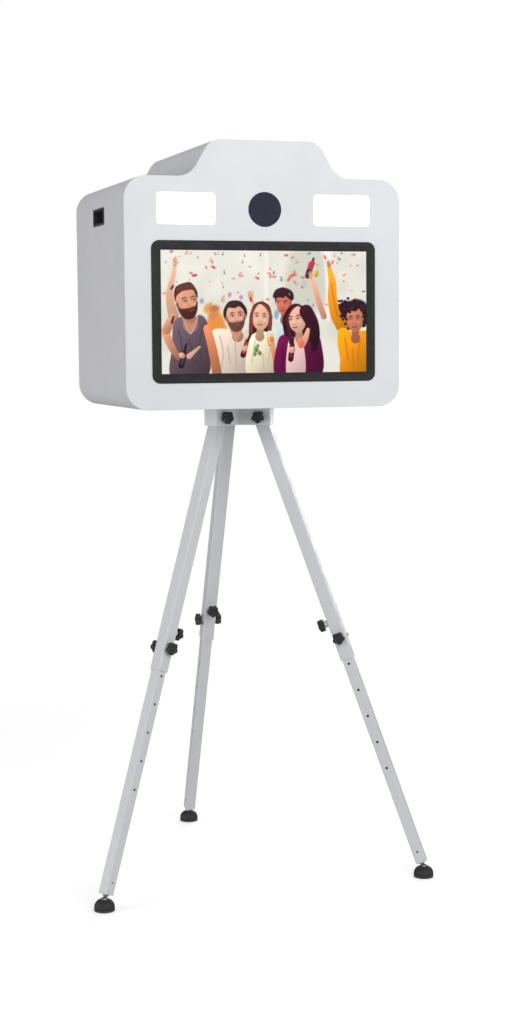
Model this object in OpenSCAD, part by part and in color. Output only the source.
/* [Case] */
// Width of the case across its front
case_w = 637; // [620:1:660]
// Depth of the case, from its front face to its back
case_d = 472; // [450:1:500]
// Height from the case's underside to its shoulders
shoulder_h = 506; // [500:1:530]
// Height of the raised crown above the shoulders
crown_h = 80; // [70:1:90]
// Width of the crown's top, corner to corner before rounding
crown_top_w = 248; // [240:1:270]
// Slope of the crown's sides, from level
crown_angle = 60; // [55:1:65]
// Radius of the case's four outer corners
corner_r = 50; // [40:1:60]
// Radius of the crown's upper corners
crown_r = 37; // [30:1:45]
// Radius of the sweep from the crown down to the shoulders
sweep_r = 49; // [40:1:60]
// Thickness of the case's sheet steel
sheet_t = 1.5; // [1:0.5:2]
// Thickness of the front panel
front_t = 2; // [2:0.5:3]
// Width of the flanges that carry the front and rear panels
flange_w = 14; // [12:1:18]

/* [Screen] */
// Width of the lit picture
picture_w = 477; // [470:1:490]
// Height of the lit picture
picture_h = 268; // [260:1:275]
// Width of the black surround
bezel_w = 21; // [19:1:23]
// Radius of the surround's outer corners
bezel_r = 18; // [12:1:20]
// Height of the picture's centre above the case's underside
screen_h = 212.8; // [205:0.1:215]

/* [Camera and lights] */
// Diameter of the camera window
window_d = 76; // [70:1:80]
// Height of the camera window's centre above the case's underside
window_h = 436.6; // [432:0.1:445]
// Width of each light window
light_w = 132; // [124:1:136]
// Height of each light window
light_h = 68; // [60:1:72]
// Distance from the case's centre to each light window's centre
light_x = 180; // [176:1:186]
// Radius of the light windows' corners
light_r = 8; // [5:1:12]

/* [Handles] */
// Length of the grip recess, along the case's depth
grip_l = 105; // [95:1:120]
// Height of the grip recess
grip_h = 39; // [34:1:45]
// Depth of the grip recess into the case
grip_depth = 34; // [30:1:40]
// Height of the grip's centre above the case's underside
grip_z = 430.6; // [420:0.1:440]

/* [Rear door] */
// Width of the door opening in the rear frame
door_w = 440; // [420:1:450]
// Height of the door opening
door_h = 330; // [310:1:340]
// Height of the door's centre above the case's underside
door_z = 226; // [220:1:230]
// Number of louvre slots in each of the door's two columns
louvre_count = 9; // [6:1:10]

/* [Tripod] */
// Angle between each leg and the vertical
splay = 20; // [17:1:21]
// Distance from the tripod's centre line to each foot's ball
foot_reach = 442.5; // [420:0.5:460]
// Distance from the tripod's centre line to each leg's pivot
pivot_reach = 58.5; // [58:0.5:60]
// Height of the case's underside above the leg pivots
head_rise = 26.4; // [25:0.1:28]
// Distance of the tripod's centre line behind the case's front face
tripod_back = 226; // [220:1:240]
// Width of the square upper leg tube
upper_w = 30; // [29:1:30]
// Width of the square lower leg tube
lower_w = 25; // [24:0.5:25]
// Distance along the leg from the foot's ball to the upper tube's lower end
upper_start = 521; // [500:1:530]
// Length of the lower leg tube
lower_l = 635; // [620:1:650]
// Spacing of the index holes in the lower leg tube
hole_pitch = 65; // [55:1:70]
// Number of index holes in the lower leg tube
hole_count = 6; // [3:1:7]
// Diameter of the star knobs over their lobes
knob_d = 30; // [26:1:30]
// Diameter of the foot pads
pad_d = 46; // [44:1:52]

/* [Hidden] */
$fn = 64;
slack = 0.3;
run_fit = 0.05;
over = 1;

FRONT_LEFT = 210;
FRONT_RIGHT = 330;
REAR = 90;
LEGS = [["front_left", FRONT_LEFT], ["front_right", FRONT_RIGHT], ["rear", REAR]];
LEG_NODES = ["upper_tube", "lower_tube", "end_plug", "foot_stud", "foot_pad", "pivot_knob",
             "clamp_knob_side_a", "clamp_knob_side_b", "clamp_knob_inner"];
CASE_NODES = ["housing_wrap", "front_panel", "rear_frame", "rear_door", "hinge_leaf_frame",
              "hinge_leaf_door", "hinge_pins", "lock_barrel", "lock_cam", "grip_pocket_left",
              "grip_pocket_right", "light_diffusers", "light_boards", "camera_window",
              "camera_body", "camera_lens", "camera_bracket", "screen_bezel", "touch_glass",
              "display_panel", "screen_clamps", "equipment_tray", "computer", "power_supply",
              "wiring", "power_inlet", "power_rocker", "fan_frame", "fan_rotor", "fan_guard",
              "case_screws"];

// The foot's ball, the pivots and the case, worked up from the floor
ball_r = 8;
ball_z = 23.5;
pivot_s = (foot_reach - pivot_reach) / sin(splay);
pivot_z = ball_z + (foot_reach - pivot_reach) / tan(splay);
case_z = pivot_z + head_rise;

// The origin is the centre of the footprint that the three feet and their pads cover
tripod_y = -foot_reach * (1 - sin(30)) / 2;
front_y = tripod_y - tripod_back;
back_y = front_y + case_d;
inner_y = front_y + front_t;
rear_y = back_y - sheet_t;

PAINT = [0.84, 0.85, 0.87];
PAINT_SIDE = [0.80, 0.81, 0.83];
STEEL = [0.62, 0.62, 0.64];
BLACK = [0.13, 0.13, 0.13];
BEZEL_BLACK = [0.20, 0.20, 0.20];
PLUG_GREY = [0.62, 0.62, 0.64];

// ---- Shapes that repeat ----

// A rectangle about the origin with true round corners
module rounded_rect(w, h, r) {
    square([w - 2 * r, h], center = true);
    square([w, h - 2 * r], center = true);
    for (x = [-1, 1], y = [-1, 1])
        translate([x * (w / 2 - r), y * (h / 2 - r)]) circle(r);
}

// The raised crown, its slopes swept into the shoulders, inset all round
module crown_outline(inset) {
    shift = inset * tan(crown_angle / 2);
    top_x = crown_top_w / 2 - shift;
    base_x = top_x + crown_h / tan(crown_angle);
    top_z = shoulder_h + crown_h - inset;
    base_z = shoulder_h - inset;
    r = crown_r - inset;
    sweep = sweep_r + inset;
    near = r * tan(crown_angle / 2);
    far = sweep * tan(crown_angle / 2);
    for (side = [0, 1]) mirror([side, 0]) {
        polygon([[0, base_z - over], [base_x, base_z - over], [base_x, base_z],
                 [top_x + near * cos(crown_angle), top_z - near * sin(crown_angle)],
                 [top_x - near, top_z], [0, top_z]]);
        translate([top_x - near, top_z - r]) circle(r);
        difference() {
            polygon([[base_x - far * cos(crown_angle), base_z + far * sin(crown_angle)],
                     [base_x + far, base_z], [base_x + far, base_z - over],
                     [base_x - far * cos(crown_angle), base_z - over]]);
            translate([base_x + far, base_z + sweep]) circle(sweep);
        }
    }
}

// The case's whole front outline, inset all round
module case_outline(inset = 0) {
    translate([0, shoulder_h / 2])
        rounded_rect(case_w - 2 * inset, shoulder_h - 2 * inset, corner_r - inset);
    crown_outline(inset);
}

// A ring that follows the case's outline between two insets
module case_ring(outer, inner) {
    difference() {
        case_outline(outer);
        case_outline(inner);
    }
}

// Extrudes a front-view shape between two depths; its height counts from the case's underside
module across(y0, y1) {
    translate([0, y1, case_z]) rotate([90, 0, 0]) linear_extrude(y1 - y0) children();
}

// A round bar along +Y from y0 to y1, at a place in the front view
module bar_y(x, z, y0, y1, r, sides = 64) {
    translate([x, y0, case_z + z]) rotate([-90, 0, 0]) cylinder(r = r, h = y1 - y0, $fn = sides);
}

// Puts a shape on the tripod's centre line, level with the case's underside
module on_tripod(angle) {
    translate([0, tripod_y, case_z]) rotate([0, 0, angle]) children();
}

// Puts a shape on a leg: +Z runs up the leg from the foot's ball, +X faces outward
module on_leg(angle, s = 0) {
    translate([0, tripod_y, 0]) rotate([0, 0, angle]) translate([foot_reach, 0, ball_z])
        rotate([0, -splay, 0]) translate([0, 0, s]) children();
}

// A square tube standing on its end, with the rounded corners of rolled stock
bore_r = 1;
module tube_bore(w, wall) {
    rounded_rect(w - 2 * wall, w - 2 * wall, bore_r);
}

module square_tube(w, wall, l) {
    linear_extrude(l) difference() {
        rounded_rect(w, w, bore_r + wall);
        tube_bore(w, wall);
    }
}

// A five-lobed hand knob with its collar and screw, turned about +Z; z = 0 is the collar's face
lobe_r = 4.6;
collar_r = 7;
screw_r = 4;
module star_knob(collar_h, knob_h, screw_l) {
    cylinder(r = collar_r, h = collar_h + over);
    translate([0, 0, collar_h]) {
        cylinder(r = knob_d / 2 - lobe_r, h = knob_h);
        for (i = [0 : 4]) rotate([0, 0, 72 * i])
            translate([knob_d / 2 - lobe_r, 0, 0]) cylinder(r = lobe_r, h = knob_h - over);
    }
    translate([0, 0, -screw_l]) cylinder(r = screw_r, h = screw_l + over);
}

// ---- The case ----

head_bolt_reach = 30;
head_bolt_r = 4;
pocket_wall = 2;

// The folded skin: one band round the case, with a flange turned in at the front and the back
module housing_wrap() color(PAINT_SIDE) difference() {
    union() {
        across(inner_y, rear_y) case_ring(0, sheet_t);
        across(inner_y, inner_y + sheet_t) case_ring(0, flange_w);
        across(rear_y - sheet_t, rear_y) case_ring(0, flange_w);
    }
    translate([-case_w / 2 - over, grip_y - grip_hole_l / 2, case_z + grip_z - grip_hole_h / 2])
        cube([case_w + 2 * over, grip_hole_l, grip_hole_h]);
    for (leg = LEGS) on_tripod(leg[1])
        translate([head_bolt_reach, 0, -over])
            cylinder(r = head_bolt_r + run_fit, h = sheet_t + 2 * over);
    for (p = PANEL_SCREWS) bar_y(p[0], p[1], inner_y - over, rear_y + over, panel_screw_r);
}

// Screws sit on the flanges' middle line, evenly placed on each edge of the outline
panel_screw_r = 2;
screw_inset = flange_w / 2 + 1;
side_screw_x = case_w / 2 - screw_inset;
PANEL_SCREWS = concat(
    [for (x = [-1, 1], z = [0.22, 0.5, 0.78]) [x * side_screw_x, z * shoulder_h]],
    [for (x = [-240, -80, 80, 240]) [x, screw_inset]],
    [for (x = [-240, 240]) [x, shoulder_h - screw_inset]],
    [for (x = [-60, 60]) [x, shoulder_h + crown_h - screw_inset]]);

// The flat face plate, with openings for the screen, the camera and the two lights
module front_panel() color(PAINT) difference() {
    across(front_y, inner_y) difference() {
        case_outline();
        translate([0, screen_h]) rounded_rect(screen_hole_w, screen_hole_h, screen_hole_r);
        for (x = [-1, 1]) translate([x * light_x, window_h]) rounded_rect(light_w, light_h, light_r);
    }
    bar_y(0, window_h, front_y - over, inner_y + over, window_d / 2);
}

// The rear frame: the back plate round the door, with a rebate strip that the door shuts on
rebate_w = 8;
frame_step = 2;
module rear_frame() color(PAINT_SIDE) difference() {
    union() {
        across(rear_y, back_y) difference() {
            case_outline();
            translate([0, door_z]) rounded_rect(door_w, door_h, door_r);
        }
        across(rear_y - frame_step, rear_y) translate([0, door_z]) difference() {
            rounded_rect(door_w + 2 * rebate_w, door_h + 2 * rebate_w, door_r);
            rounded_rect(door_w - 2 * rebate_w, door_h - 2 * rebate_w, door_r);
        }
    }
    bar_y(0, fan_z, rear_y - over, back_y + over, fan_bore_r);
    translate([inlet_x - inlet_body_w / 2, rear_y - over, case_z + inlet_z - inlet_body_h / 2])
        cube([inlet_body_w, sheet_t + 2 * over, inlet_body_h]);
    for (p = PANEL_SCREWS) bar_y(p[0], p[1], rear_y - over, back_y + over, panel_screw_r);
}

// The service door: a louvred sheet with a stiffening hem, hinged on the +X side
door_r = 12;
door_gap = 2;
hem_inset = 10;
hem_t = 1.5;
hem_depth = 10;
louvre_w = 90;
louvre_h = 5;
louvre_pitch = 18;
louvre_x = 95;
module rear_door() color(PAINT_SIDE) difference() {
    union() {
        across(rear_y, back_y) translate([0, door_z])
            rounded_rect(door_w - 2 * door_gap, door_h - 2 * door_gap, door_r);
        across(rear_y - hem_depth, rear_y) translate([0, door_z]) difference() {
            rounded_rect(door_w - 2 * hem_inset, door_h - 2 * hem_inset, door_r);
            rounded_rect(door_w - 2 * hem_inset - 2 * hem_t, door_h - 2 * hem_inset - 2 * hem_t,
                         door_r - hem_t);
        }
    }
    for (side = [-1, 1], i = [0 : louvre_count - 1])
        across(rear_y - over, back_y + over)
            translate([side * louvre_x, door_z + (i - (louvre_count - 1) / 2) * louvre_pitch])
                rounded_rect(louvre_w, louvre_h, louvre_h / 2 - 0.1);
    bar_y(lock_x, door_z, rear_y - over, back_y + over, lock_r);
    translate([lock_x - hem_inset - hem_depth, rear_y - hem_depth - over, case_z + door_z - cam_l])
        cube([hem_inset + hem_depth - collar_r, hem_depth + over, 2 * cam_l]);
}

// Two butt hinges of three knuckles each
hinge_r = 3.5;
hinge_pin_r = 2;
hinge_x = door_w / 2 + 2;
hinge_y = back_y + 4;
leaf_w = 20;
leaf_t = 1.5;
knuckle_h = 20;
hinge_h = 3 * knuckle_h;
hinge_drop = 105;

module at_hinges() {
    for (z = [-1, 1]) translate([hinge_x, hinge_y, case_z + door_z + z * hinge_drop]) children();
}

// One knuckle with the strip of leaf that joins it, on the side given by dir
module knuckle(z0, h, dir, bore) {
    difference() {
        union() {
            translate([0, 0, z0]) cylinder(r = hinge_r, h = h);
            translate([min(0, dir * 6), back_y - hinge_y, z0]) cube([6, leaf_t, h]);
        }
        translate([0, 0, z0 - over]) cylinder(r = bore, h = h + 2 * over);
    }
}

// A leaf's plate, clear of the other leaf's knuckles
module leaf_plate(dir) {
    near = hinge_r + 1;
    translate([dir > 0 ? near : -near - leaf_w, back_y - hinge_y, -hinge_h / 2])
        cube([leaf_w, leaf_t, hinge_h]);
}

module hinge_leaf_frame() color(STEEL) at_hinges() {
    leaf_plate(1);
    for (z = [-hinge_h / 2, knuckle_h / 2 + slack / 2])
        knuckle(z, knuckle_h - slack / 2, 1, hinge_pin_r);
}

module hinge_leaf_door() color(STEEL) at_hinges() {
    leaf_plate(-1);
    knuckle(slack / 2 - knuckle_h / 2, knuckle_h - slack, -1, hinge_pin_r + run_fit);
}

module hinge_pins() color(STEEL) at_hinges()
    translate([0, 0, -hinge_h / 2]) cylinder(r = hinge_pin_r, h = hinge_h);

// A quarter-turn cam lock: the barrel is held in the door, the cam turns behind the rebate
lock_x = -door_w / 2 + 20;
lock_r = 9;
cam_r = 3;
cam_l = 22;
cam_w = 12;
cam_t = 2;
barrel_l = 2.5;
key_slot_w = 1.5;
key_slot_l = 4.2;
module lock_barrel() color(STEEL) difference() {
    union() {
        bar_y(lock_x, door_z, back_y, back_y + frame_step, lock_r + 2);
        bar_y(lock_x, door_z, back_y - barrel_l, back_y + frame_step, lock_r);
    }
    bar_y(lock_x, door_z, back_y - barrel_l - over, back_y + 2 * frame_step, cam_r + run_fit);
}

module lock_cam() color(STEEL) difference() {
    union() {
        bar_y(lock_x, door_z, cam_back, back_y + frame_step, cam_r);
        translate([lock_x - cam_w / 2, cam_back, case_z + door_z - cam_l])
            cube([cam_w, cam_t, cam_l + cam_w / 2]);
    }
    translate([lock_x - key_slot_w / 2, back_y + over, case_z + door_z - key_slot_l / 2])
        cube([key_slot_w, 2 * over, key_slot_l]);
}
cam_back = rear_y - frame_step - 2 * slack - cam_t;

// A moulded hand recess let into each side of the case
grip_y = front_y + case_d / 2;
grip_rim_t = 1.5;
grip_hole_l = grip_l - 6;
grip_hole_h = grip_h - 6;
grip_rim_r = 4;
grip_hole_r = 3;
module grip_pocket(side) color(BLACK)
    translate([side * case_w / 2, grip_y, case_z + grip_z]) rotate([0, side * 90, 0]) {
        difference() {
            union() {
                linear_extrude(grip_rim_t) rounded_rect(grip_h, grip_l, grip_rim_r);
                translate([0, 0, -grip_depth]) linear_extrude(grip_depth + grip_rim_t)
                    rounded_rect(grip_hole_h, grip_hole_l, grip_hole_r);
            }
            translate([0, 0, pocket_wall - grip_depth]) linear_extrude(grip_depth + 2 * grip_rim_t)
                rounded_rect(grip_hole_h - 2 * pocket_wall, grip_hole_l - 2 * pocket_wall,
                             grip_hole_r - 1);
        }
    }

// ---- What shows in the front panel ----

lip = 3;
lip_t = 1.5;

// Opal panes, flush with the front, each with a bonded lip behind the panel
module light_diffusers() color([1, 1, 0.98]) for (x = [-1, 1]) {
    across(front_y, inner_y) translate([x * light_x, window_h])
        rounded_rect(light_w, light_h, light_r);
    across(inner_y, inner_y + lip_t) translate([x * light_x, window_h])
        rounded_rect(light_w + 2 * lip, light_h + 2 * lip, light_r + lip);
}

// A row-and-column array of light-emitting diodes on a metal board, on four stand-offs
board_w = 156;
board_h = 60;
board_t = 1.6;
board_y = inner_y + 26;
led_pitch_x = 17;
led_pitch_z = 18;
led_r = 2.5;
led_h = 1.5;
stand_r = 2.5;
stand_x = board_w / 2 - 4;
stand_z = board_h / 2 - 6;
module light_boards() color([0.9, 0.9, 0.88]) for (side = [-1, 1]) {
    across(board_y, board_y + board_t) translate([side * light_x, window_h])
        square([board_w, board_h], center = true);
    for (i = [-3 : 3], j = [-1 : 1])
        bar_y(side * light_x + i * led_pitch_x, window_h + j * led_pitch_z,
              board_y - led_h, board_y, led_r);
    for (x = [-1, 1], z = [-1, 1])
        bar_y(side * light_x + x * stand_x, window_h + z * stand_z, inner_y, board_y, stand_r);
}

// The tinted pane in front of the lens
module camera_window() color([0.24, 0.24, 0.30]) {
    bar_y(0, window_h, front_y, inner_y, window_d / 2);
    bar_y(0, window_h, inner_y, inner_y + lip_t, window_d / 2 + lip);
}

// A system camera behind the window: body, hand grip and finder hump
body_w = 124;
body_h = 92;
body_d = 56;
lens_y = inner_y + 10;
lens_l = 72;
body_y = lens_y + lens_l;
body_r = 10;
finder_w = 46;
finder_h = 26;
finder_inset = 6;
hold_w = 24;
hold_r = 8;
hold_proud = 14;
hold_d = 34;
camera_screw_l = 10;
module camera_body() color(BLACK) difference() {
    union() {
        across(body_y, body_y + body_d) translate([0, window_h])
            rounded_rect(body_w, body_h, body_r);
        across(body_y + finder_inset, body_y + body_d - finder_inset)
            translate([0, window_h + body_h / 2]) rounded_rect(finder_w, finder_h, finder_inset);
        across(body_y - hold_proud, body_y - hold_proud + hold_d)
            translate([(hold_w - body_w) / 2, window_h]) rounded_rect(hold_w, body_h - 12, hold_r);
    }
    translate([0, body_y + body_d / 2, case_z + window_h - body_h / 2 - over])
        cylinder(r = camera_screw_r, h = camera_screw_l + over);
}

// The lens barrel, with its focus ring, hood rim and hollow front
module camera_lens() color(BLACK)
    translate([0, lens_y, case_z + window_h]) rotate([-90, 0, 0]) rotate_extrude()
        polygon([[0, 6], [24, 6], [28, 0], [31, 0], [31, 18], [33, 18], [33, 40], [31, 42],
                 [31, 60], [33, 62], [33, lens_l], [0, lens_l]]);

// A folded shelf on the front panel that carries the camera
bracket_w = 80;
bracket_t = 3;
bracket_drop = 13;
camera_screw_r = 3.2;
bracket_z = window_h - body_h / 2 - bracket_t;
module camera_bracket() color(STEEL) difference() {
    union() {
        translate([-bracket_w / 2, inner_y, case_z + bracket_z])
            cube([bracket_w, body_y + body_d - inner_y, bracket_t]);
        translate([-bracket_w / 2, inner_y, case_z + bracket_z - bracket_drop])
            cube([bracket_w, bracket_t, bracket_drop]);
    }
    translate([0, body_y + body_d / 2, case_z + bracket_z - over])
        cylinder(r = camera_screw_r, h = bracket_t + 2 * over);
}

// ---- The touch screen ----

bezel_out_w = picture_w + 2 * bezel_w;
bezel_out_h = picture_h + 2 * bezel_w;
bezel_proud = 2;
screen_hole_w = bezel_out_w - 8;
screen_hole_h = bezel_out_h - 8;
screen_hole_r = bezel_r - 4;
glass_t = 3;
glass_w = screen_hole_w - 10;
glass_h = screen_hole_h - 10;
panel_back = inner_y + 14;

// The black surround: a rim on the front panel and a sleeve through it
module screen_bezel() color(BEZEL_BLACK) {
    difference() {
        union() {
            across(front_y - bezel_proud, front_y) translate([0, screen_h])
                rounded_rect(bezel_out_w, bezel_out_h, bezel_r);
            across(front_y, inner_y + glass_t) translate([0, screen_h])
                rounded_rect(screen_hole_w, screen_hole_h, screen_hole_r);
        }
        across(front_y - bezel_proud - over, inner_y + glass_t + over) translate([0, screen_h])
            square([picture_w, picture_h], center = true);
        across(front_y, inner_y + glass_t + over) translate([0, screen_h])
            square([glass_w, glass_h], center = true);
    }
}

module touch_glass() color([0.9, 0.9, 0.85])
    across(front_y, front_y + glass_t) translate([0, screen_h])
        square([glass_w, glass_h], center = true);

// The flat display with its driver board on the back
driver_w = 180;
driver_h = 90;
driver_d = 8;
driver_z = screen_h - 40;
module display_panel() color([0.5, 0.5, 0.52]) {
    across(front_y + glass_t, panel_back) translate([0, screen_h])
        square([glass_w - 1, glass_h - 1], center = true);
    across(panel_back, panel_back + driver_d) translate([0, driver_z])
        square([driver_w, driver_h], center = true);
}

// Four stepped clips that hold the display to the front panel
clamp_w = 30;
clamp_x = screen_hole_w / 2 + 4;
clamp_t = 2;
clamp_foot = 18;
clamp_hook = 24;
module screen_clamps() color(STEEL)
    for (x = [-1, 1], z = [-1, 1]) translate([0, 0, case_z + screen_h + z * picture_h / 3])
        mirror([x < 0 ? 1 : 0, 0, 0]) {
            translate([clamp_x, inner_y, -clamp_w / 2]) cube([clamp_foot, clamp_t, clamp_w]);
            translate([clamp_x, inner_y, -clamp_w / 2])
                cube([clamp_t, panel_back + clamp_t - inner_y, clamp_w]);
            translate([clamp_x + clamp_t - clamp_hook, panel_back, -clamp_w / 2])
                cube([clamp_hook, clamp_t, clamp_w]);
        }

// ---- Inside the case ----

tray_w = 420;
tray_l = 260;
tray_z = 24;
tray_t = 2;
tray_y = front_y + 130;
module equipment_tray() color(STEEL) {
    translate([-tray_w / 2, tray_y, case_z + tray_z]) cube([tray_w, tray_l, tray_t]);
    for (x = [-tray_w / 2, tray_w / 2 - tray_t])
        translate([x, tray_y, case_z + sheet_t]) cube([tray_t, tray_l, tray_z - sheet_t + over]);
}

// The computer on its four rubber feet; its middle and the power supply's lie on one line
kit_y = tray_y + 125;
computer_w = 180;
computer_h = 38;
computer_r = 12;
computer_x = -105;
computer_foot_x = 70;
computer_foot_h = 2;
module computer() color([0.25, 0.26, 0.28])
    translate([computer_x, kit_y, case_z + tray_z + tray_t]) {
        translate([0, 0, computer_foot_h])
            linear_extrude(computer_h) rounded_rect(computer_w, computer_w, computer_r);
        for (x = [-1, 1], y = [-1, 1])
            translate([x * computer_foot_x, y * computer_foot_x, 0]) cylinder(r = 8, h = computer_foot_h);
    }

supply_w = 76;
supply_l = 160;
supply_h = 40;
supply_r = 6;
supply_x = 110;
module power_supply() color(BLACK)
    translate([supply_x, kit_y, case_z + tray_z + tray_t])
        linear_extrude(supply_h) rounded_rect(supply_w, supply_l, supply_r);

// Leads between fixed points, each a run of straight lengths with round elbows
lead_r = 3;
lead_z = tray_z + 20;
module lead(points) {
    for (i = [0 : len(points) - 2]) {
        run = points[i + 1] - points[i];
        flat = norm([run[0], run[1]]);
        translate(points[i]) rotate([0, atan2(flat, run[2]), atan2(run[1], run[0])])
            cylinder(r = lead_r, h = norm(run));
        if (i > 0) translate(points[i]) sphere(lead_r);
    }
}

mains_z = 90;
signal_x = -60;
signal_y = panel_back + 40;
module wiring() color([0.15, 0.15, 0.17]) translate([0, 0, case_z]) {
    mains_y = back_y - inlet_body_l - 20;
    // Mains, from the inlet to the power supply
    lead([[inlet_x, back_y - inlet_body_l, inlet_z], [inlet_x, mains_y, inlet_z],
          [inlet_x, mains_y, mains_z], [supply_x, mains_y, mains_z],
          [supply_x, mains_y, lead_z], [supply_x, kit_y + supply_l / 2, lead_z]]);
    // Low voltage, from the power supply to the computer
    lead([[supply_x - supply_w / 2, kit_y, lead_z], [computer_x + computer_w / 2, kit_y, lead_z]]);
    // Picture signal, from the computer up to the display's driver board
    lead([[signal_x, kit_y - computer_w / 2, lead_z], [signal_x, signal_y, lead_z],
          [signal_x, signal_y, driver_z], [signal_x, panel_back + driver_d, driver_z]]);
}

// The mains inlet: a socket with three blades, below an on-off rocker, in one moulding
inlet_x = -266;
inlet_z = 70;
inlet_flange_w = 32;
inlet_flange_h = 62;
inlet_body_w = 28;
inlet_body_h = 56;
inlet_body_l = 30;
inlet_flange_t = 2;
socket_w = 24;
socket_h = 17;
socket_depth = 20;
socket_drop = 14;
socket_chamfer = 5;
blade_w = 2;
blade_h = 4;
BLADES = [[-7, 0], [0, 3], [7, 0]];
rocker_w = 21;
rocker_h = 13;
rocker_z = inlet_z + 14;
rocker_depth = 9;
module power_inlet() color(BLACK) {
    difference() {
        union() {
            across(back_y, back_y + inlet_flange_t) translate([inlet_x, inlet_z])
                rounded_rect(inlet_flange_w, inlet_flange_h, 3);
            across(back_y - inlet_body_l, back_y + inlet_flange_t) translate([inlet_x, inlet_z])
                square([inlet_body_w, inlet_body_h], center = true);
        }
        across(back_y + inlet_flange_t - socket_depth, back_y + 2 * inlet_flange_t)
            translate([inlet_x, inlet_z - socket_drop])
                polygon([[-socket_w / 2, -socket_h / 2], [socket_w / 2, -socket_h / 2],
                         [socket_w / 2, socket_h / 2 - socket_chamfer],
                         [socket_w / 2 - socket_chamfer, socket_h / 2],
                         [socket_chamfer - socket_w / 2, socket_h / 2],
                         [-socket_w / 2, socket_h / 2 - socket_chamfer]]);
        across(back_y + inlet_flange_t - rocker_depth, back_y + 2 * inlet_flange_t)
            translate([inlet_x, rocker_z])
                square([rocker_w + 2 * slack, rocker_h + 4 * slack], center = true);
    }
    for (p = BLADES)
        across(back_y + inlet_flange_t - socket_depth - over, back_y - 5)
            translate([inlet_x + p[0], inlet_z - socket_drop + p[1]])
                square([blade_w, blade_h], center = true);
}

// The rocker: a shallow V that tips about a pivot along X
rocker_tilt = 8;
rocker_y = back_y + inlet_flange_t - 3;
module power_rocker() color([0.55, 0.1, 0.1])
    translate([inlet_x, rocker_y, case_z + rocker_z]) rotate([rocker_tilt, 0, 0])
        rotate([90, 0, 90]) translate([0, 0, -rocker_w / 2]) linear_extrude(rocker_w)
            polygon([[-4, 0], [0, -rocker_h / 2 + 0.5], [3.4, -rocker_h / 2 + 0.5], [2.6, 0],
                     [3.4, rocker_h / 2 - 0.5], [0, rocker_h / 2 - 0.5]]);

// ---- The cooling fan ----

fan_z = 448;
fan_w = 80;
fan_l = 25;
fan_bore_r = 38;
fan_hub_r = 16;
fan_shaft_r = 2;
fan_back = rear_y;
fan_corner_r = 5;
fan_hole_x = 35.75;
fan_hole_r = 2.2;
fan_bearing_l = 4;
strut_w = 4;
strut_t = 3;
rotor_gap = 3;
module fan_frame() color(BLACK) {
    difference() {
        across(fan_back - fan_l, fan_back) translate([0, fan_z]) rounded_rect(fan_w, fan_w, fan_corner_r);
        bar_y(0, fan_z, fan_back - fan_l - over, fan_back + over, fan_bore_r);
        for (x = [-1, 1], z = [-1, 1])
            bar_y(x * fan_hole_x, fan_z + z * fan_hole_x,
                  fan_back - fan_l - over, fan_back + over, fan_hole_r);
    }
    difference() {
        union() {
            bar_y(0, fan_z, fan_back - fan_l, fan_back - fan_l + fan_bearing_l, fan_hub_r);
            for (a = [0 : 90 : 270]) translate([0, fan_back - fan_l, case_z + fan_z])
                rotate([0, a, 0]) translate([fan_hub_r - over, 0, -strut_w / 2])
                    cube([fan_bore_r - fan_hub_r + 1.5, strut_t, strut_w]);
        }
        bar_y(0, fan_z, fan_back - fan_l - over, fan_back, fan_shaft_r + run_fit);
    }
}

// Seven pitched blades on a hub, with the shaft that runs in the frame's bearing
blade_r = fan_bore_r - 1.5;
blade_count = 7;
blade_pitch = 38;
blade_t = 2;
hub_front = fan_back - fan_l + fan_bearing_l + over;
hub_back = fan_back - rotor_gap;
module fan_rotor() color([0.18, 0.18, 0.19]) {
    bar_y(0, fan_z, hub_front, hub_back, fan_hub_r);
    bar_y(0, fan_z, fan_back - fan_l, hub_front, fan_shaft_r);
    intersection() {
        difference() {
            bar_y(0, fan_z, hub_front, hub_back, blade_r);
            bar_y(0, fan_z, hub_front - over, fan_back, fan_hub_r - 0.5);
        }
        translate([0, (hub_front + hub_back) / 2, case_z + fan_z])
            for (i = [0 : blade_count - 1]) rotate([0, i * 360 / blade_count, 0])
                rotate([blade_pitch, 0, 0]) translate([10, -blade_t / 2, -15]) cube([40, blade_t, 30]);
    }
}

// The wire guard on the outside of the rear frame
guard_span = 100;
wire_r = 1;
guard_bar_w = 3;
guard_bar_t = 2;
module fan_guard() color([0.7, 0.7, 0.72]) {
    for (r = [10 : 8 : 42]) translate([0, back_y + 2.2, case_z + fan_z]) rotate([90, 0, 0])
        rotate_extrude() translate([r, 0]) circle(wire_r, $fn = 24);
    for (a = [45, 135]) translate([0, back_y, case_z + fan_z]) rotate([0, a, 0])
        translate([-guard_span / 2, 0, -guard_bar_w / 2]) cube([guard_span, guard_bar_t, guard_bar_w]);
}

// Nuts on the front panel's studs, button screws in the rear frame, the camera's screw
stud_out = 9;
stud_nut_r = 4;
stud_nut_h = 3.2;
button_l = 8;
button_r = 3.8;
button_h = 1.8;
thumb_r = 10;
thumb_h = 8;
module case_screws() color(STEEL) {
    for (p = PANEL_SCREWS) {
        bar_y(p[0], p[1], inner_y, inner_y + stud_out, panel_screw_r);
        bar_y(p[0], p[1], inner_y + sheet_t, inner_y + sheet_t + stud_nut_h, stud_nut_r, 6);
        bar_y(p[0], p[1], rear_y - button_l, back_y, panel_screw_r);
        bar_y(p[0], p[1], back_y, back_y + button_h, button_r);
    }
    translate([0, body_y + body_d / 2, case_z + bracket_z]) {
        cylinder(r = camera_screw_r, h = bracket_t + camera_screw_l);
        translate([0, 0, -thumb_h]) cylinder(r = thumb_r, h = thumb_h);
    }
}

// ---- The tripod ----

head_h = 45.4;
ear_t = 4;
ear_gap = upper_w + 2;
arm_w = ear_gap + 2 * ear_t;
arm_reach = 86;
end_t = 3.9;
plate_t = 5;
post_r = 14;
pivot_r = 4;
ear_start = (ear_gap + ear_t) / 2 / tan(60);

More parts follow.
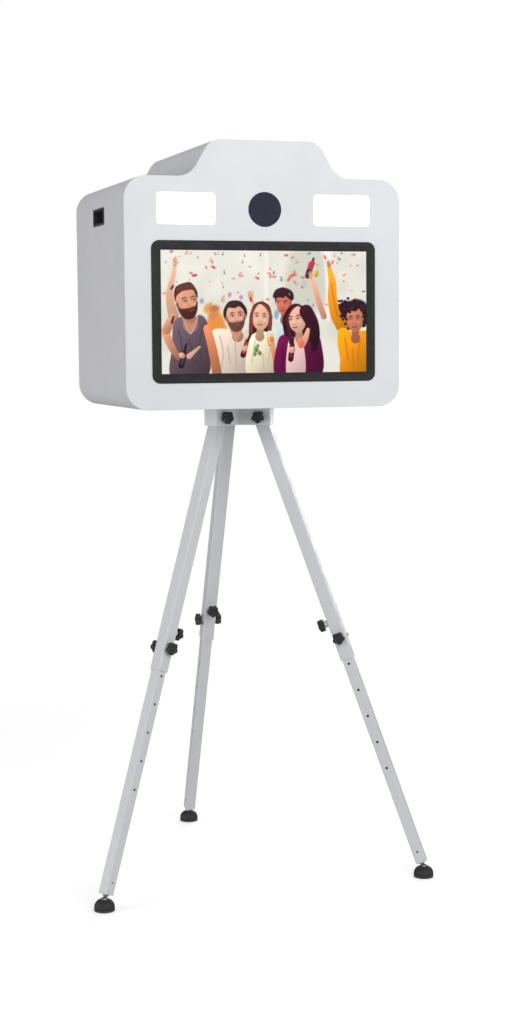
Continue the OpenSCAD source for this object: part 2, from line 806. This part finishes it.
// Each arm's outline from above, for the plate under the case
module head_plate_plan() {
    for (leg = LEGS) rotate(leg[1]) translate([0, -arm_w / 2]) square([arm_reach, arm_w]);
}

// The upright walls from above: two ears to a leg, a closing stop plate and the king post
module head_wall_plan() {
    for (leg = LEGS) rotate(leg[1]) {
        for (side = [0, 1]) mirror([0, side])
            translate([ear_start, ear_gap / 2]) square([arm_reach - ear_start, ear_t]);
        translate([arm_reach - end_t, -arm_w / 2]) square([end_t, arm_w]);
    }
    circle(post_r);
}

// Three arms at 120 degrees that carry the case and hold the legs' upper ends
module tripod_head() color(PAINT_SIDE) difference() {
    union() {
        translate([0, tripod_y, case_z - plate_t]) linear_extrude(plate_t) head_plate_plan();
        translate([0, tripod_y, case_z - head_h]) linear_extrude(head_h - plate_t) head_wall_plan();
    }
    for (leg = LEGS) on_tripod(leg[1]) {
        translate([pivot_reach, 0, -head_rise]) rotate([90, 0, 0])
            cylinder(r = pivot_r + run_fit, h = arm_w + 2 * over, center = true);
        translate([head_bolt_reach, 0, -plate_t - over])
            cylinder(r = head_bolt_r + run_fit, h = plate_t + 2 * over);
    }
}

// Bolts down through the case's floor into nuts under the head's plate
hexagon_r = 7.5;
washer_r = 8;
washer_t = 1.6;
bolt_top_h = 5.3;
nut_h = 6.5;
bolt_tail = 8;
module head_bolts() color(STEEL) for (leg = LEGS) on_tripod(leg[1])
    translate([head_bolt_reach, 0, 0]) {
        translate([0, 0, -plate_t - bolt_tail]) cylinder(r = head_bolt_r, h = plate_t + bolt_tail + 4);
        translate([0, 0, sheet_t]) cylinder(r = washer_r, h = washer_t);
        translate([0, 0, sheet_t + washer_t]) cylinder(r = hexagon_r, h = bolt_top_h, $fn = 6);
        translate([0, 0, -plate_t - nut_h]) cylinder(r = hexagon_r, h = nut_h, $fn = 6);
    }

// The clamp screws' places on a leg, and the welded bosses that they run in
upper_wall = 2;
side_clamp_s = upper_start + 53.5;
inner_clamp_s = upper_start + 92.5;
boss_r = 8;
side_boss_h = 3;
inner_boss_h = 9;
tube_top = 12;

module upper_tube(angle) color(PAINT) on_leg(angle) difference() {
    union() {
        translate([0, 0, upper_start])
            square_tube(upper_w, upper_wall, pivot_s + tube_top - upper_start);
        for (side = [-90, 90]) translate([0, 0, side_clamp_s]) rotate([side, 0, 0])
            translate([0, 0, upper_w / 2 - over]) cylinder(r = boss_r, h = side_boss_h + over);
        translate([0, 0, inner_clamp_s]) rotate([0, -90, 0])
            translate([0, 0, upper_w / 2 - over]) cylinder(r = boss_r, h = inner_boss_h + over);
    }
    translate([0, 0, upper_start - over]) linear_extrude(pivot_s) tube_bore(upper_w, upper_wall);
    for (s = [side_clamp_s, pivot_s]) translate([0, 0, s]) rotate([90, 0, 0])
        cylinder(r = screw_r + run_fit, h = 3 * upper_w, center = true);
    translate([0, 0, inner_clamp_s]) rotate([0, -90, 0]) cylinder(r = screw_r + run_fit, h = 2 * upper_w);
}

lower_start = 15;
lower_wall = 1.5;
index_r = 3;
plug_hole_s = 40;
module plug_hole() translate([0, 0, plug_hole_s]) rotate([90, 0, 0])
    cylinder(r = index_r - 0.5, h = 2 * lower_w, center = true);

module lower_tube(angle) color(PAINT) on_leg(angle) difference() {
    translate([0, 0, lower_start]) square_tube(lower_w, lower_wall, lower_l);
    for (i = [0 : hole_count - 1]) translate([0, 0, side_clamp_s - i * hole_pitch])
        rotate([90, 0, 0]) cylinder(r = index_r, h = 2 * lower_w, center = true);
    plug_hole();
}

// The plug in the leg's lower end, drilled along for the foot's stud and cross-drilled with the tube
plug_l = 30;
plug_flange = 2;
stud_r = 4;
module end_plug(angle) color(PLUG_GREY) on_leg(angle) difference() {
    union() {
        translate([0, 0, lower_start]) linear_extrude(plug_l) tube_bore(lower_w, lower_wall);
        translate([0, 0, lower_start - plug_flange])
            linear_extrude(plug_flange) rounded_rect(lower_w, lower_w, bore_r + lower_wall);
    }
    translate([0, 0, lower_start - plug_flange - over])
        cylinder(r = stud_r + run_fit, h = plug_l + plug_flange + 2 * over);
    plug_hole();
}

// A levelling screw with a ball end and a hexagon to turn it by
stud_l = 72;
hex_h = 3.6;
module foot_stud(angle) color([0.2, 0.2, 0.2]) on_leg(angle) {
    sphere(ball_r);
    cylinder(r = stud_r, h = stud_l);
    translate([0, 0, lower_start - plug_flange - hex_h - slack])
        cylinder(r = hexagon_r, h = hex_h, $fn = 6);
}

// The pad: a flat base rising in a dome to the socket that holds the ball
socket_gap = 0.1;
pad_top = 3;
pad_rim_h = 10;
neck_r = 10.5;
module foot_pad(angle) color([0.22, 0.22, 0.22])
    translate([0, tripod_y, 0]) rotate([0, 0, angle]) translate([foot_reach, 0, 0]) difference() {
        rotate_extrude() polygon(concat(
            [[0, 0], [pad_d / 2 - 1, 0], [pad_d / 2, 1], [pad_d / 2, pad_rim_h]],
            [for (a = [10 : 10 : 70]) [neck_r + (pad_d / 2 - neck_r) * pow(cos(a), 1.6),
                                       pad_rim_h + (ball_z + pad_top - pad_rim_h) * sin(a)]],
            [[neck_r, ball_z + pad_top], [0, ball_z + pad_top]]));
        translate([0, 0, ball_z]) sphere(ball_r + socket_gap);
    }

// The knob and through bolt that clamp a leg's pivot; side says which ear carries the knob
pivot_collar_h = 2.5;
pivot_knob_h = 14;
bolt_head_h = 5;
module pivot_knob(angle, side) color(BLACK) on_tripod(angle)
    translate([pivot_reach, 0, -head_rise]) rotate([-90 * side, 0, 0]) {
        translate([0, 0, arm_w / 2 + slack]) rotate([0, 0, 90 * side])
            star_knob(pivot_collar_h, pivot_knob_h, arm_w + slack + over);
        translate([0, 0, -arm_w / 2 - slack - bolt_head_h])
            cylinder(r = hexagon_r, h = bolt_head_h, $fn = 6);
    }

// The clamp screws stop just short of the lower tube, so that it slides
nose_gap = 0.3;
clamp_gap = 0.2;
side_collar_h = 1.8;
side_knob_h = 12;
inner_collar_h = 2.3;
inner_knob_h = 13.5;
screw_reach = (upper_w - lower_w) / 2 + clamp_gap - nose_gap;
module clamp_knob_side(angle, side) color(BLACK) on_leg(angle, side_clamp_s)
    rotate([-90 * side, 0, 0]) translate([0, 0, upper_w / 2 + side_boss_h + clamp_gap])
        rotate([0, 0, 90 * side]) star_knob(side_collar_h, side_knob_h, screw_reach + side_boss_h);

module clamp_knob_inner(angle) color(BLACK) on_leg(angle, inner_clamp_s)
    rotate([0, -90, 0]) translate([0, 0, upper_w / 2 + inner_boss_h + clamp_gap])
        rotate([0, 0, 180]) star_knob(inner_collar_h, inner_knob_h, screw_reach + inner_boss_h);

housing_wrap();
front_panel();
rear_frame();
rear_door();
hinge_leaf_frame();
hinge_leaf_door();
hinge_pins();
lock_barrel();
lock_cam();
grip_pocket(-1);  // grip_pocket_left
grip_pocket(1);  // grip_pocket_right
light_diffusers();
light_boards();
camera_window();
camera_body();
camera_lens();
camera_bracket();
screen_bezel();
touch_glass();
display_panel();
screen_clamps();
equipment_tray();
computer();
power_supply();
wiring();
power_inlet();
power_rocker();
fan_frame();
fan_rotor();
fan_guard();
case_screws();
tripod_head();
head_bolts();
for (leg = LEGS) {
    side = leg[0] == "front_right" ? -1 : 1;
    upper_tube(leg[1]);
    lower_tube(leg[1]);
    end_plug(leg[1]);
    foot_stud(leg[1]);
    foot_pad(leg[1]);
    pivot_knob(leg[1], side);
    clamp_knob_side(leg[1], 1);
    clamp_knob_side(leg[1], -1);
    clamp_knob_inner(leg[1]);
}
